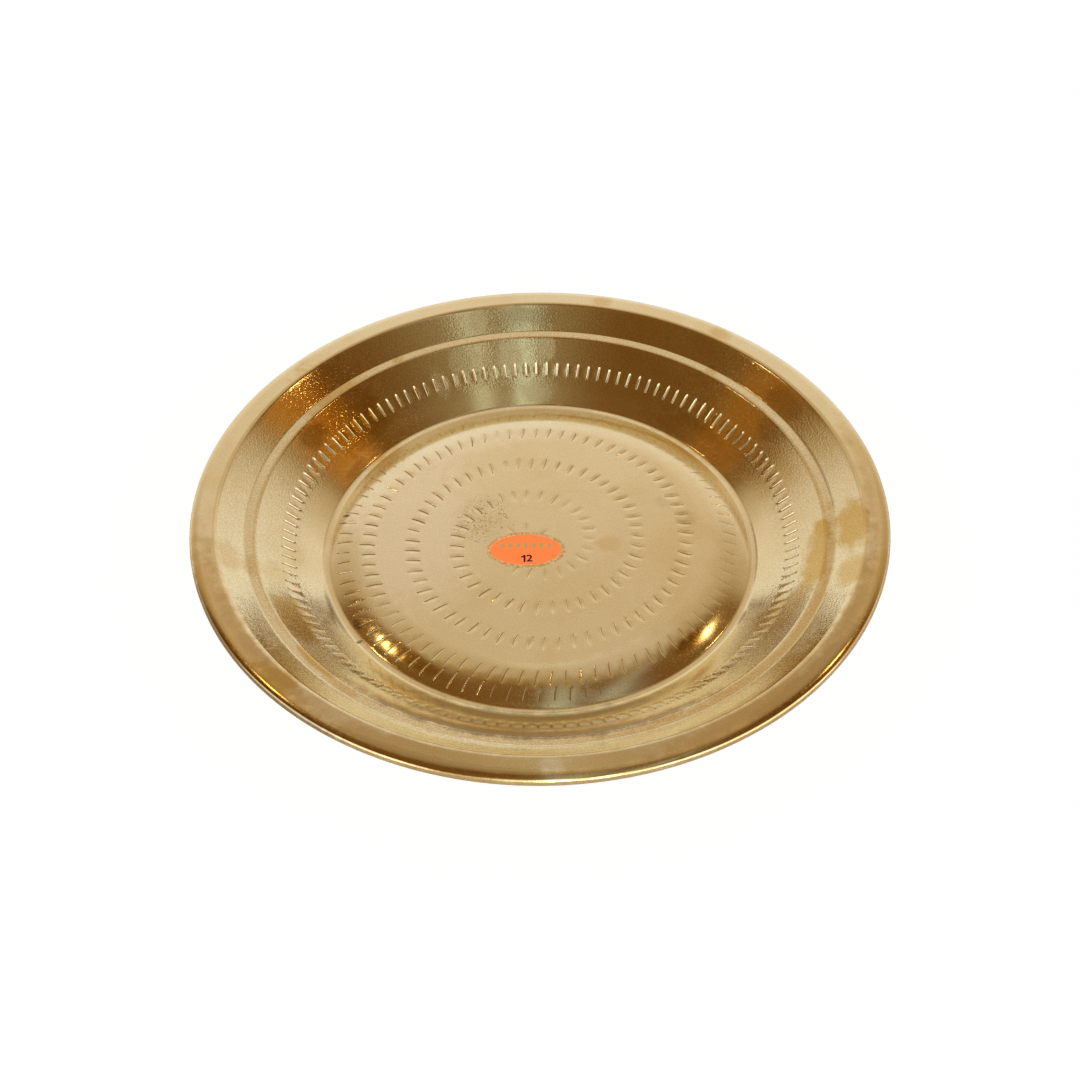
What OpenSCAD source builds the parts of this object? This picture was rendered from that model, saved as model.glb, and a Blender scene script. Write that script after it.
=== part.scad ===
// Brass kneading plate: one sheet spun to a wide shallow dish. A narrow base ring carries it, its
// floor stands higher inside that ring, the wall rises in two steps with a ledge between them, and
// the lip ends in an edge rolled down around a wire. The floor has a spiral of chisel marks, and
// the lower wall a ring of them. A paper size sticker lies on the floor.
// Millimetres, +Z up, origin at the middle of the plane that the base ring stands on.

/* [Plate] */
// Diameter over the rolled edge
rim_d = 304.8; // [240:0.2:400]
// Thickness of the brass sheet
sheet_t = 1; // [0.6:0.05:1.4]

/* [Rolled edge] */
// Diameter of the wire inside the rolled edge
wire_d = 2.8; // [2:0.1:4]
// Clearance between the wire and the sheet around it
wire_gap = 0.1; // [0.05:0.01:0.2]
// Angle through which the sheet wraps around the wire
wrap_angle = 280; // [220:1:290]

/* [Lip] */
// Width of the lip, from the top of the wall to the rolled edge
lip_w = 8.5; // [5:0.1:14]
// Rise of the lip over that width
lip_rise = 0.15; // [0:0.05:1.5]
// Bend radius between the upper wall and the lip
crest_bend = 3; // [1.5:0.1:5]

/* [Wall] */
// Height of the upper wall
upper_wall_h = 8.85; // [5:0.05:14]
// Slope of the upper wall against the level
upper_slope = 38.6; // [30:0.1:55]
// Width of the ledge between the two walls
ledge_w = 4.7; // [3.5:0.1:8]
// Drop of the ledge towards the middle of the plate
ledge_drop = 0.3; // [0:0.05:1.5]
// Bend radius at both sides of the ledge
ledge_bend = 2.2; // [1.5:0.1:3]
// Height of the lower wall
lower_wall_h = 21.6; // [14:0.05:30]
// Slope of the lower wall against the level
lower_slope = 38.1; // [30:0.1:55]

/* [Base] */
// Width of the flat base ring
ring_w = 2.9; // [2.4:0.1:6]
// Bend radius between the base ring and the lower wall
foot_bend = 3; // [1.5:0.1:4]
// Bend radius between the base ring and the shoulder of the floor
ring_bend = 5; // [2:0.1:6]
// Height of the floor above the base ring
floor_rise = 4.4; // [2:0.1:8]
// Width of the shoulder around the floor, measured where its end slopes would meet
shoulder_w = 10.85; // [8:0.1:16]

/* [Chisel marks] */
// Length of a mark
mark_l = 7; // [4:0.1:9]
// Width of a mark
mark_w = 1.2; // [0.6:0.1:2]
// Depth of a mark
mark_depth = 0.35; // [0.15:0.05:0.45]
// Distance between marks around the wall
wall_mark_step = 5.2; // [4:0.1:12]
// Height of the middle of the wall marks above the base ring
wall_mark_h = 11.3; // [8:0.1:14]
// Distance between marks along the spiral
floor_mark_step = 6.3; // [4:0.1:12]
// Turn of a floor mark away from the line to the middle of the plate
floor_mark_slant = 12.5; // [0:0.5:30]
// Distance between one turn of the spiral and the next
spiral_pitch = 21; // [14:0.5:30]
// Radius where the spiral starts
spiral_start_r = 7; // [6:0.5:20]
// Direction in which the spiral starts
spiral_start_angle = 55; // [0:5:355]
// Middle of the spiral's first turn, to the right of the plate's middle
spiral_x = -3.3; // [-6:0.1:6]
// Middle of the spiral's first turn, behind the plate's middle
spiral_y = -4.5; // [-6:0.1:6]
// Distance from the last turn of marks to the base ring
last_turn_inset = 6.1; // [5:0.1:12]
// Angle through which the last turn follows the edge of the floor
last_turn_angle = 265; // [0:5:300]

/* [Sticker] */
// Length of the oval sticker
sticker_l = 35.4; // [20:0.1:45]
// Width of the oval sticker
sticker_w = 22.4; // [12:0.1:30]
// Thickness of the sticker's paper
sticker_t = 0.15; // [0.1:0.01:0.3]
// Middle of the sticker, to the right of the plate's middle
sticker_x = -6.3; // [-15:0.1:15]
// Middle of the sticker, behind the plate's middle
sticker_y = -8.1; // [-15:0.1:15]

/* [Hidden] */
$fn = 180;

// Steps in each bend and in the rolled edge
bend_steps = 5;
curl_steps = 20;
// Sides of the sticker's oval
sticker_sides = 72;

brass = "#C8A050";
wire_grey = "#8A8780";
sticker_orange = "#F08040";

// Radius of the rolled edge at the middle of the sheet, and where the wire lies
curl_r = wire_d / 2 + wire_gap + sheet_t / 2;
lip_heading = atan(lip_rise / lip_w);
wire_r = rim_d / 2 - curl_r - sheet_t / 2;

// Radii at the middle of the sheet, from the rim inwards
lip_end_r = wire_r - curl_r * sin(lip_heading);
crest_r = lip_end_r - lip_w;
ledge_out_r = crest_r - upper_wall_h / tan(upper_slope);
ledge_in_r = ledge_out_r - ledge_w;
ring_out_r = ledge_in_r - lower_wall_h / tan(lower_slope);
ring_in_r = ring_out_r - ring_w;
floor_r = ring_in_r - shoulder_w;

// The shoulder is one long round: its bend takes nearly all the slope that the ring's bend leaves
shoulder_slope = atan(floor_rise / shoulder_w);
shoulder_run = 0.98 * norm([floor_rise, shoulder_w]);
shoulder_bend = shoulder_run / tan(shoulder_slope / 2) - ring_bend;

// Heights at the middle of the sheet, from the base ring up
ring_z = sheet_t / 2;
floor_z = ring_z + floor_rise;
ledge_in_z = ring_z + lower_wall_h;
ledge_out_z = ledge_in_z + ledge_drop;
crest_z = ledge_out_z + upper_wall_h;
lip_end_z = crest_z + lip_rise;
wire_z = lip_end_z - curl_r * cos(lip_heading);

// The path of the sheet from the middle of the floor to the rolled edge, as [radius, height]
corners = [
    [0, floor_z],
    [floor_r, floor_z],
    [ring_in_r, ring_z],
    [ring_out_r, ring_z],
    [ledge_in_r, ledge_in_z],
    [ledge_out_r, ledge_out_z],
    [crest_r, crest_z],
    [lip_end_r, lip_end_z]
];
bends = [shoulder_bend, ring_bend, foot_bend, ledge_bend, ledge_bend, crest_bend];

function along(angle) = [cos(angle), sin(angle)];
function across(angle) = [-sin(angle), cos(angle)];
function heading(i) = let (d = corners[i + 1] - corners[i]) atan2(d.y, d.x);

// A bend from one heading to another, as [point, heading] pairs
function arc(start, from, to, r, steps) = let (side = to > from ? 1 : -1)
    [for (i = [0 : steps])
        let (a = from + (to - from) * i / steps)
        [start + side * r * (across(from) - across(a)), a]];

// The bend that rounds a corner of the path
function corner_bend(i) = let (
        from = heading(i - 1),
        to = heading(i),
        reach = bends[i - 1] * tan(abs(to - from) / 2))
    arc(corners[i] - reach * along(from), from, to, bends[i - 1], bend_steps);

sheet_path = [
    [corners[0], 0],
    for (i = [1 : len(bends)]) each corner_bend(i),
    each arc([lip_end_r, lip_end_z], lip_heading, lip_heading - wrap_angle, curl_r, curl_steps)
];

// The sheet's outline: the path moved half a thickness to either side
function side_of_path(distance) = [for (p = sheet_path) p[0] + distance * across(p[1])];
function reversed(list) = [for (i = [len(list) - 1 : -1 : 0]) list[i]];
sheet_outline = concat(side_of_path(sheet_t / 2), reversed(side_of_path(-sheet_t / 2)));

// The upper face of the floor: level, then round, then straight down to the base ring
shoulder_r = shoulder_bend + sheet_t / 2;
round_in_r = floor_r - shoulder_bend * tan(shoulder_slope / 2);
round_out_r = round_in_r + shoulder_r * sin(shoulder_slope);
floor_top = floor_z + sheet_t / 2;
function floor_fall(r) = r >= round_out_r ? shoulder_slope
    : r <= round_in_r ? 0 : asin((r - round_in_r) / shoulder_r);
function floor_height(r) = floor_top - shoulder_r * (1 - cos(floor_fall(r)))
    - max(0, r - round_out_r) * tan(shoulder_slope);

// The spiral: its radius at each turn angle, the angles at which marks are struck, and their spots.
// It starts a little off the plate's middle and comes true as it widens.
last_turn_r = ring_in_r - last_turn_inset;
spiral_sweep = 360 * (last_turn_r - spiral_start_r) / spiral_pitch;
function spiral_r(a) = min(last_turn_r, spiral_start_r + spiral_pitch * a / 360);
function mark_turn(a) = floor_mark_step / spiral_r(a) * 180 / PI;
spiral_marks = [for (a = 0; a <= spiral_sweep + last_turn_angle; a = a + mark_turn(a)) a];
function mark_spot(a) = spiral_r(a) * along(spiral_start_angle + a)
    + (1 - spiral_r(a) / last_turn_r) * [spiral_x, spiral_y];

// The ring of marks on the lower wall, on its upper face
wall_mark_mid = [ring_out_r + wall_mark_h / tan(lower_slope), ring_z + wall_mark_h]
    + sheet_t / 2 * across(lower_slope);
wall_marks = round(2 * PI * wall_mark_mid.x / wall_mark_step);

// The notch that one chisel blow leaves: a long diamond, deepest in its middle. Above the surface
// the wedge goes on widening, to twice the mark's length and width.
module chisel_mark() {
    polyhedron(
        points = [
            [0, 0, -mark_depth],
            [mark_l, 0, mark_depth],
            [0, mark_w, mark_depth],
            [-mark_l, 0, mark_depth],
            [0, -mark_w, mark_depth],
            [0, 0, 3 * mark_depth]
        ],
        faces = [
            [0, 1, 2], [0, 2, 3], [0, 3, 4], [0, 4, 1],
            [5, 2, 1], [5, 3, 2], [5, 4, 3], [5, 1, 4]
        ]
    );
}

// One mark in the plate's upper face, on a face that slopes up outwards
module mark_at(angle, r, z, slope, slant = 0) {
    rotate([0, 0, angle]) translate([r, 0, z]) rotate([0, -slope, 0]) rotate([0, 0, slant])
        chisel_mark();
}

// One mark of the spiral, turned a little from the line to the spiral's middle
module floor_mark(a) {
    spot = mark_spot(a);
    r = norm(spot);
    angle = atan2(spot.y, spot.x);
    mark_at(angle, r, floor_height(r), -floor_fall(r),
        spiral_start_angle + a - floor_mark_slant - angle);
}

module plate() {
    color(brass) difference() {
        rotate_extrude() polygon(sheet_outline);
        for (a = spiral_marks) floor_mark(a);
        for (i = [0 : wall_marks - 1])
            mark_at(360 * i / wall_marks, wall_mark_mid.x, wall_mark_mid.y, lower_slope);
    }
}

module rim_wire() {
    color(wire_grey) rotate_extrude() translate([wire_r, wire_z]) circle(d = wire_d);
}

module size_sticker() {
    oval = [for (i = [0 : sticker_sides - 1]) let (a = 360 * i / sticker_sides)
        [sticker_l / 2 * cos(a), sticker_w / 2 * sin(a)]];
    color(sticker_orange) translate([sticker_x, sticker_y, floor_top])
        linear_extrude(sticker_t) polygon(oval);
}

plate();
rim_wire();
size_sticker();
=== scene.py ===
# %% [markdown]
# # A brass kneading plate
# The real plate is one brass sheet, spun on a lathe to a wide shallow dish, with its edge rolled
# around a wire and its floor struck with a spiral of chisel marks. The CAD frame gives the sizes
# and the places. This lesson makes the same plate again with the softness, the marks and the
# finishes that a solid model leaves out. Every piece stays in the frame's own metres.

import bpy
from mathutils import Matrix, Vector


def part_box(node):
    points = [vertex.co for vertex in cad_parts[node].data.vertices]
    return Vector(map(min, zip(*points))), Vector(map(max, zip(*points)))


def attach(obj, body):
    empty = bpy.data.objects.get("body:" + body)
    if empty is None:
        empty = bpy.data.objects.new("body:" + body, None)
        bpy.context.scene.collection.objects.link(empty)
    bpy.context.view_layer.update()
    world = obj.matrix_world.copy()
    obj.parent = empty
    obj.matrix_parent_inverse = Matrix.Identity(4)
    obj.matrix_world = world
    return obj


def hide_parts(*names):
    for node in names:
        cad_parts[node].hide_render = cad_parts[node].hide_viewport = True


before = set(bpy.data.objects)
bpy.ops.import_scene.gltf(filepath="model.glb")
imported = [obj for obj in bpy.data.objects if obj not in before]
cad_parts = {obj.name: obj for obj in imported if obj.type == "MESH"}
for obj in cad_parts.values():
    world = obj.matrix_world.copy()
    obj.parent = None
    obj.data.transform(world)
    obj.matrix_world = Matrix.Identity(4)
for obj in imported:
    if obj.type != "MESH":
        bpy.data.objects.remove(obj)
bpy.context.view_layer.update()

# %% [markdown]
# ## The camera
# The photo looks down on the plate from the front, at about 45 degrees. A camera can be placed by
# eye. Here its place comes from the plate itself: each of its circles shows as an ellipse, and the
# shapes and places of these ellipses give the height, the distance and the lens. The camera sits
# in the plane x = 0, and a slight roll levels the picture as in the photo.

# %% Camera
import math
import bpy
from mathutils import Matrix, Vector

CAMERA_BACK = 0.4636
CAMERA_ABOVE_EDGE = 0.4407
LOOK_DOWN = math.radians(45.19)
CAMERA_ROLL = math.radians(-0.39)
SENSOR, LENS = 36, 48.33

wire_low, wire_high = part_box("rim_wire")
edge_z = (wire_low[2] + wire_high[2]) / 2

bpy.ops.object.select_all(action="DESELECT")
bpy.ops.object.camera_add(location=(0, -CAMERA_BACK, edge_z + CAMERA_ABOVE_EDGE))
camera = bpy.context.object
tilt = Matrix.Rotation(math.pi / 2 - LOOK_DOWN, 3, "X")
roll = Matrix.Rotation(CAMERA_ROLL, 3, "Z")
camera.rotation_euler = (tilt @ roll).to_euler()
camera.data.sensor_width = SENSOR
camera.data.lens = LENS
camera.data.clip_start = 0.01
bpy.context.scene.camera = camera
bpy.context.scene.view_settings.view_transform = "Standard"
print("Camera at", [round(value, 4) for value in camera.location])

# %% [markdown]
# ## Helpers for nodes
# Every finish below is a net of shader nodes. Adding a node, setting it and linking its inputs are
# always the same three steps, so one function does them. An input takes a plain value or the
# output socket of another node. Kinds of nodes that come back often get a shorter call of their
# own, like the maths node here.

# %% Node helpers
def add_node(tree, kind, inputs=None, **settings):
    made = tree.nodes.new(kind)
    for name, value in settings.items():
        setattr(made, name, value)
    for socket, value in (inputs or {}).items():
        if isinstance(value, bpy.types.NodeSocket):
            tree.links.new(value, made.inputs[socket])
        else:
            made.inputs[socket].default_value = value
    return made


def calc(tree, operation, *values, **settings):
    made = add_node(tree, "ShaderNodeMath", dict(enumerate(values)), operation=operation,
                    **settings)
    return made.outputs[0]


def new_material(name):
    material = bpy.data.materials.new(name)
    material.use_nodes = True
    material.node_tree.nodes.clear()
    return material


print("Helpers:", [helper.__name__ for helper in (add_node, calc, new_material)])

# %% [markdown]
# ## The floor under the plate
# The photo's ground is plain white. A floor that is only lit would come out grey, and more light
# would bleach the brass. So the camera sees mostly a white glow there, and a share of the lit
# surface, which keeps the plate's soft shadow. The brass mirrors the lit floor alone.

# %% Floor
FLOOR_SIZE = 12
FLOOR_GLOW, GLOW_STRENGTH = 0.88, 1.07
FLOOR_WHITE, GLOW_WHITE = (0.92, 0.92, 0.92, 1), (1, 1, 1, 1)

bpy.ops.mesh.primitive_plane_add(size=FLOOR_SIZE)
studio_floor = bpy.context.object
studio_floor.name = "studio_floor"

floor_paint = new_material("studio_floor_white")
tree = floor_paint.node_tree
path = add_node(tree, "ShaderNodeLightPath")
glow_share = calc(tree, "MULTIPLY", path.outputs["Is Camera Ray"], FLOOR_GLOW)
lit = add_node(tree, "ShaderNodeBsdfDiffuse", {"Color": FLOOR_WHITE})
glow = add_node(tree, "ShaderNodeEmission", {"Color": GLOW_WHITE, "Strength": GLOW_STRENGTH})
mixed = add_node(tree, "ShaderNodeMixShader", {
    0: glow_share, 1: lit.outputs[0], 2: glow.outputs[0]})
add_node(tree, "ShaderNodeOutputMaterial", {"Surface": mixed.outputs[0]})
studio_floor.data.materials.append(floor_paint)
print("Floor:", studio_floor.name)

# %% [markdown]
# ## The room
# Polished brass shows what stands around it, so the room makes most of the picture. One could
# build its walls. Here the world's nodes paint them instead, on the direction in which a ray
# leaves, because this camera sees them only in the plate. Two angles are needed: how high a ray
# points as seen from the side, and how high above the horizon. The far wall ends lower towards its
# sides, so the first angle is stretched there.

# %% Room angles
WALL_MIDDLE = -0.015
NARROW_FROM, NARROW_TO, NARROWING = 0.17, 0.56, 0.38


def remap(tree, value, low=0.0, high=1.0, to_low=0.0, to_high=1.0, shape="LINEAR"):
    made = add_node(tree, "ShaderNodeMapRange", {
        "Value": value, "From Min": low, "From Max": high, "To Min": to_low, "To Max": to_high},
        interpolation_type=shape)
    return made.outputs["Result"]


def soft_step(value, start, end):
    return remap(sky, value, start, end, shape="SMOOTHSTEP")


room = bpy.data.worlds.new("studio_room")
room.use_nodes = True
bpy.context.scene.world = room
sky = room.node_tree
sky.nodes.clear()
ray = add_node(sky, "ShaderNodeTexCoord").outputs["Generated"]
right, back, up = add_node(sky, "ShaderNodeSeparateXYZ", {0: ray}).outputs
sideways = calc(sky, "ABSOLUTE", calc(sky, "SUBTRACT", right, WALL_MIDDLE))
narrow = soft_step(sideways, NARROW_FROM, NARROW_TO)
stretch = calc(sky, "MULTIPLY_ADD", narrow, NARROWING, 1.0)
rise = calc(sky, "MULTIPLY", calc(sky, "ARCTAN2", up, back), stretch)
rise = calc(sky, "DIVIDE", rise, math.pi, use_clamp=True)
height = calc(sky, "DIVIDE", calc(sky, "ARCSINE", up), math.pi, use_clamp=True)
print("Room:", len(sky.nodes), "nodes for the angles")

# %% [markdown]
# ## The walls and the ceiling
# The studio's walls are white near the floor, and the far wall stays bright higher up. Above that
# the ceiling is dark and warm. The far side of the plate mirrors the ceiling and turns brown, while
# its floor mirrors the far wall. Two ramps turn the two angles into colours, and the lighter one
# wins.

# %% Room colours
FAR_WALL = [
    (8, (0.95, 0.90, 0.88)),
    (20, (0.90, 0.83, 0.80)),
    (37, (0.855, 0.745, 0.685)),
    (42, (0.79, 0.665, 0.575)),
    (46, (0.71, 0.575, 0.475)),
    (51, (0.63, 0.49, 0.37)),
    (66, (0.53, 0.40, 0.26)),
    (72, (0.38, 0.26, 0.14)),
    (78, (0.205, 0.098, 0.028)),
    (95, (0.185, 0.085, 0.019)),
]
ALL_ROUND = [
    (20, (0.86, 0.77, 0.72)),
    (25, (0.79, 0.68, 0.61)),
    (29, (0.64, 0.51, 0.39)),
    (33, (0.45, 0.32, 0.18)),
    (37, (0.24, 0.12, 0.035)),
    (42, (0.0, 0.0, 0.0)),
]


def blend(tree, share, first, second, how="MIX"):
    made = add_node(tree, "ShaderNodeMix", {"Factor": share, 6: first, 7: second},
                    data_type="RGBA", blend_type=how)
    return made.outputs[2]


def fill_ramp(node, stops):
    elements = node.color_ramp.elements
    while len(elements) < len(stops):
        elements.new(1.0)
    for element, (angle, shade) in zip(elements, stops):
        element.position = angle / 180
        element.color = (*shade, 1)


far_wall = add_node(sky, "ShaderNodeValToRGB", {"Fac": rise})
fill_ramp(far_wall, FAR_WALL)
all_round = add_node(sky, "ShaderNodeValToRGB", {"Fac": height})
fill_ramp(all_round, ALL_ROUND)
light = blend(sky, 1.0, far_wall.outputs["Color"], all_round.outputs["Color"], "LIGHTEN")
print("Room:", len(FAR_WALL), "colours up the far wall,", len(ALL_ROUND), "all round")

# %% [markdown]
# ## What hangs under the ceiling
# Pale strips cross the dark ceiling from the far wall towards the camera, like gaps between dark
# cloths, and show as streaks on the far wall of the plate and on the near shoulder. They grow
# brighter behind the camera, where they end in a window. A short pale patch hangs high on the far
# wall, and a bluish gap lies right above the plate. Two more windows stand behind the camera at
# the left and right: only the steep sides of the chisel marks mirror these. At either side there
# is an orange shine around a warm lamp. Each one is a soft mask over the directions, and its light
# is added to the room.

# %% Ceiling
# Each strip: its middle, where it is full and where it ends, its share overhead, its colour
STRIPS = [
    (0.06, 0.015, 0.08, 0.55, (0.40, 0.53, 0.54)),
    (0.26, 0.015, 0.07, 0.55, (0.30, 0.37, 0.37)),
    (0.17, 0.14, 0.50, 0.0, (0.13, 0.14, 0.10)),
]
OVERHEAD = (70, 82)
BEHIND = (0.05, -0.3)
STRIP_WINDOW, STRIP_WINDOW_COLOUR = (-0.5, -0.7), (1.0, 1.0, 0.9)
SHINES = [((-0.72, 0.17, 0.67), 0.5), ((0.73, 0.24, 0.64), 1.0)]
SHINE_SPREAD, SHINE_COLOUR = (0.980, 0.998), (0.25, 0.085, 0.0)


def vector_calc(tree, operation, *values):
    made = add_node(tree, "ShaderNodeVectorMath", dict(enumerate(values)), operation=operation)
    return made.outputs["Value" if operation in ("LENGTH", "DOT_PRODUCT") else "Vector"]


def away_from(middle):
    return calc(sky, "ABSOLUTE", calc(sky, "SUBTRACT", right, middle))


def add_light(light, mask, shade):
    return blend(sky, mask, light, (*shade, 1), "ADD")


degrees = calc(sky, "MULTIPLY", rise, 180.0)
overhead = soft_step(degrees, *OVERHEAD)
behind = soft_step(back, *BEHIND)
for middle, inner, outer, above, shade in STRIPS:
    shown = calc(sky, "MULTIPLY", remap(sky, behind, to_low=above), overhead)
    strip = calc(sky, "MULTIPLY", soft_step(away_from(middle), outer, inner), shown)
    light = add_light(light, strip, shade)
    low_end = calc(sky, "MULTIPLY", strip, soft_step(back, *STRIP_WINDOW))
    light = add_light(light, low_end, STRIP_WINDOW_COLOUR)

# The patch on the far wall, the gap overhead and the side windows, each with its soft steps
wide = away_from(0.0)
PATCHES = [
    ([(degrees, 50.6, 51.6), (degrees, 60, 55), (wide, 0.05, 0.01)], (0.14, 0.20, 0.20)),
    ([(back, 0.16, 0.06), (back, -0.12, 0.0), (away_from(0.22), 0.22, 0.10)], (0.06, 0.09, 0.11)),
    ([(wide, 0.42, 0.56), (back, 0.03, -0.03), (up, 0.72, 0.68)], (1.15, 1.2, 1.4)),
]
for steps, shade in PATCHES:
    mask = 1.0
    for step in steps:
        mask = calc(sky, "MULTIPLY", mask, soft_step(*step))
    light = add_light(light, mask, shade)

for lamp_way, strength in SHINES:
    near = vector_calc(sky, "DOT_PRODUCT", ray, Vector(lamp_way).normalized())
    shine = calc(sky, "MULTIPLY", soft_step(near, *SHINE_SPREAD), strength)
    light = add_light(light, shine, SHINE_COLOUR)

backdrop = add_node(sky, "ShaderNodeBackground", {"Color": light, "Strength": 1})
add_node(sky, "ShaderNodeOutputWorld", {"Surface": backdrop.outputs[0]})
print("Room:", len(sky.nodes), "nodes")

# %% [markdown]
# ## Two lamps
# Two bright spots sit on the near shoulder of the raised floor, and warm glints on the far walls.
# Both are the images of two lamps, high up at the left and right and a little behind the plate.
# Area lamps make soft highlights, and they point at the plate's middle. The camera itself doesn't
# see them, so that they never stand in a picture taken from another side.

# %% Lamps
LAMP_WAYS = [(-0.514, 0.25, 0.822), (0.555, 0.295, 0.778)]
LAMP_DISTANCE = 1.1
LAMP_SIZE = (0.085, 0.05)
LAMP_POWER = 0.15
LAMP_COLOUR = (1.0, 0.72, 0.36)

for way in map(Vector, LAMP_WAYS):
    bpy.ops.object.light_add(type="AREA", location=way * LAMP_DISTANCE)
    lamp = bpy.context.object
    lamp.rotation_euler = way.to_track_quat("Z", "Y").to_euler()
    lamp.data.shape = "RECTANGLE"
    lamp.data.size, lamp.data.size_y = LAMP_SIZE
    lamp.data.energy = LAMP_POWER
    lamp.data.color = LAMP_COLOUR
    lamp.visible_camera = False
print("Lamps at", LAMP_DISTANCE, "m")

# %% [markdown]
# ## The section of the sheet
# A spun plate is one section turned around an axis. The section is the middle line of the sheet,
# drawn as straight runs with a round bend at each corner, and the two faces of the sheet lie half
# a thickness to either side. The sizes are the part's own, in millimetres, because a maker thinks
# in those. The path keeps the heading at each point, which later tells how a face leans.

# %% Section
import numpy as np

MM = 0.001
SHEET = 1.0
RIM_R = 152.4
WIRE_D, WIRE_GAP, WRAP = 2.8, 0.1, math.radians(280)
LIP_W, LIP_RISE = 8.5, 0.15
UPPER_H, UPPER_SLOPE = 8.85, math.radians(38.6)
LEDGE_W, LEDGE_DROP = 4.7, 0.3
LOWER_H, LOWER_SLOPE = 21.6, math.radians(38.1)
RING_W, FLOOR_RISE, SHOULDER_W, SHOULDER_RUN = 2.9, 4.4, 10.85, 0.98
RING_BEND, FOOT_BEND, LEDGE_BEND, CREST_BEND = 5.0, 3, 2.2, 3
BEND_STEPS, CURL_STEPS = 8, 22

shoulder_slope = math.atan(FLOOR_RISE / SHOULDER_W)
shoulder_bend = (SHOULDER_RUN * math.hypot(FLOOR_RISE, SHOULDER_W) / math.tan(shoulder_slope / 2)
                 - RING_BEND)
bends = [shoulder_bend, RING_BEND, FOOT_BEND, LEDGE_BEND, LEDGE_BEND, CREST_BEND]
curl_r = WIRE_D / 2 + WIRE_GAP + SHEET / 2
lip_heading = math.atan(LIP_RISE / LIP_W)
lip_end_r = RIM_R - curl_r - SHEET / 2 - curl_r * math.sin(lip_heading)
crest_r = lip_end_r - LIP_W
ledge_out_r = crest_r - UPPER_H / math.tan(UPPER_SLOPE)
ledge_in_r = ledge_out_r - LEDGE_W
ring_out_r = ledge_in_r - LOWER_H / math.tan(LOWER_SLOPE)
ring_in_r = ring_out_r - RING_W
ring_z = SHEET / 2
ledge_in_z = ring_z + LOWER_H
ledge_out_z = ledge_in_z + LEDGE_DROP
crest_z = ledge_out_z + UPPER_H

corners = [np.array(corner) for corner in [
    (0, ring_z + FLOOR_RISE), (ring_in_r - SHOULDER_W, ring_z + FLOOR_RISE),
    (ring_in_r, ring_z), (ring_out_r, ring_z), (ledge_in_r, ledge_in_z),
    (ledge_out_r, ledge_out_z), (crest_r, crest_z), (lip_end_r, crest_z + LIP_RISE)]]


def along(angle):
    return np.array((math.cos(angle), math.sin(angle)))


def across(angle):
    return np.array((-math.sin(angle), math.cos(angle)))


def bend(start, old, new, radius, steps):
    side = 1 if new > old else -1
    turns = [old + (new - old) * step / steps for step in range(steps + 1)]
    return [(start + side * radius * (across(old) - across(turn)), turn) for turn in turns]


headings = [math.atan2(*(b - a)[::-1]) for a, b in zip(corners, corners[1:])]
sheet_path = [(corners[0], 0.0)]
bend_starts = []
for corner, old, new, radius in zip(corners[1:], headings, headings[1:], bends):
    reach = radius * math.tan(abs(new - old) / 2)
    bend_starts.append(len(sheet_path))
    sheet_path += bend(corner - reach * along(old), old, new, radius, BEND_STEPS)
lip_start = len(sheet_path)
sheet_path += bend(corners[-1], lip_heading, lip_heading - WRAP, curl_r, CURL_STEPS)
print("Section points:", len(sheet_path))

# %% [markdown]
# ## The worn edge
# Hands and shelves have worn the outer face of the rolled edge: it starts to fall a little before
# the roll. Two bends replace that part of the upper face, a wide one that leaves the lip and a
# tight one that meets the roll further down. The height left between them gives the tight radius.

# %% Worn edge
WORN_R, WORN_TURN, WORN_STEPS = 9.0, math.radians(-20), 6
MEET_TURN, MEET_GAP, MEET_STEPS = math.radians(-55), 0.05, 5

lip_top = corners[-1] + SHEET / 2 * across(lip_heading)
wire_spot = corners[-1] - curl_r * across(lip_heading)
meet = wire_spot + (curl_r + SHEET / 2) * across(MEET_TURN)
first_fall = WORN_R * (math.cos(lip_heading) - math.cos(WORN_TURN))
tight_r = (lip_top[1] - meet[1] - first_fall) / (math.cos(WORN_TURN) - math.cos(MEET_TURN))
worn_start = (meet[0] - tight_r * (math.sin(WORN_TURN) - math.sin(MEET_TURN))
              - WORN_R * (math.sin(lip_heading) - math.sin(WORN_TURN)))
worn = bend(np.array((worn_start, lip_top[1])), lip_heading, WORN_TURN, WORN_R, WORN_STEPS)
worn += bend(worn[-1][0], WORN_TURN, MEET_TURN, tight_r, MEET_STEPS)[1:]

upper_face = [(spot + SHEET / 2 * across(turn), turn) for spot, turn in sheet_path]
lower_face = [(spot - SHEET / 2 * across(turn), turn) for spot, turn in sheet_path]
rolled = [point for point in upper_face[lip_start:] if point[1] < MEET_TURN - MEET_GAP]
upper_face = upper_face[:lip_start] + worn + rolled
print("Worn from radius", round(worn_start, 2), "mm, tight bend", round(tight_r, 2), "mm")

# %% [markdown]
# ## Where the chisel fell
# The marks are the plate's ornament. A spiral of short strokes starts near the middle of the floor
# and widens until it follows the floor's edge, and a ring of straight strokes runs around the
# lower wall. They were struck by hand, one after the other, so each one is a little off in place,
# turn, length and depth. Random numbers from a fixed seed give that, the same on each run. The
# blows weren't equally hard along the spiral, and on the right of the floor they left thinner
# creases in softer hollows. Between the wall marks the sheet has swelled, most at the near side.
# A swell is kept as a mark that rises instead of falling.

# %% Chisel marks
from collections import namedtuple

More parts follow.
